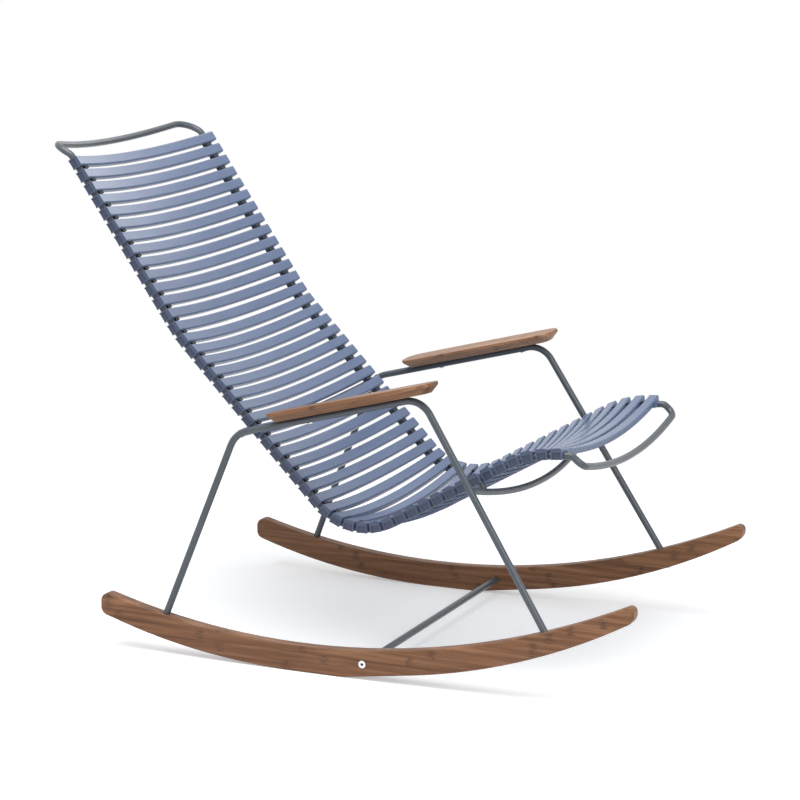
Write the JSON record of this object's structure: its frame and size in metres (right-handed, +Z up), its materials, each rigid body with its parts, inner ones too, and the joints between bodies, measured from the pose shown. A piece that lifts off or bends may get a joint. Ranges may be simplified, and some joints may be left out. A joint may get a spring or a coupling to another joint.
{
  "type": "rocking chaise lounge",
  "caption": "Rocking lounge chair: a long slatted seat shell in a bent tube frame, wooden armrests, and two curved wooden rockers.",
  "frame": {"origin": "on the floor, in the middle of the chair's footprint box", "axes": "+Z up, -Y forward (the way the sitter faces), +X to the chair's own left-hand far side as seen in the picture"},
  "size_m": [0.6062, 1.0846, 0.837],
  "materials": {
    "slat_plastic": "satin moulded plastic, blue grey",
    "coated_steel": "fine textured powder coat, dark grey green",
    "bamboo": "oiled heat-treated bamboo laminate",
    "fasteners": "bright zinc or stainless"
  },
  "bodies": {
    "root": {"slat_01": "slat_plastic", "slat_02": "slat_plastic", "slat_03": "slat_plastic", "slat_04": "slat_plastic", "slat_05": "slat_plastic", "slat_06": "slat_plastic", "slat_07": "slat_plastic", "slat_08": "slat_plastic", "slat_09": "slat_plastic", "slat_10": "slat_plastic", "slat_11": "slat_plastic", "slat_12": "slat_plastic", "slat_13": "slat_plastic", "slat_14": "slat_plastic", "slat_15": "slat_plastic", "slat_16": "slat_plastic", "slat_17": "slat_plastic", "slat_18": "slat_plastic", "slat_19": "slat_plastic", "slat_20": "slat_plastic", "slat_21": "slat_plastic", "slat_22": "slat_plastic", "slat_23": "slat_plastic", "slat_24": "slat_plastic", "slat_25": "slat_plastic", "slat_26": "slat_plastic", "slat_27": "slat_plastic", "slat_28": "slat_plastic", "slat_29": "slat_plastic", "slat_30": "slat_plastic", "slat_31": "slat_plastic", "slat_32": "slat_plastic", "slat_33": "slat_plastic", "slat_34": "slat_plastic", "slat_35": "slat_plastic", "slat_36": "slat_plastic", "slat_37": "slat_plastic", "slat_38": "slat_plastic", "slat_39": "slat_plastic", "slat_40": "slat_plastic", "slat_41": "slat_plastic", "slat_42": "slat_plastic", "slat_43": "slat_plastic", "slat_44": "slat_plastic", "slat_45": "slat_plastic", "slat_46": "slat_plastic", "slat_47": "slat_plastic", "slat_48": "slat_plastic", "shell_frame": "coated_steel", "left_leg_frame": "coated_steel", "right_leg_frame": "coated_steel", "back_cross_bow": "coated_steel", "seat_cross_bow": "coated_steel", "stretcher": "coated_steel", "left_rocker": "bamboo", "right_rocker": "bamboo", "left_armrest": "bamboo", "right_armrest": "bamboo", "rocker_bolts": "fasteners", "armrest_screws": "fasteners"}
  },
  "joints": []
}
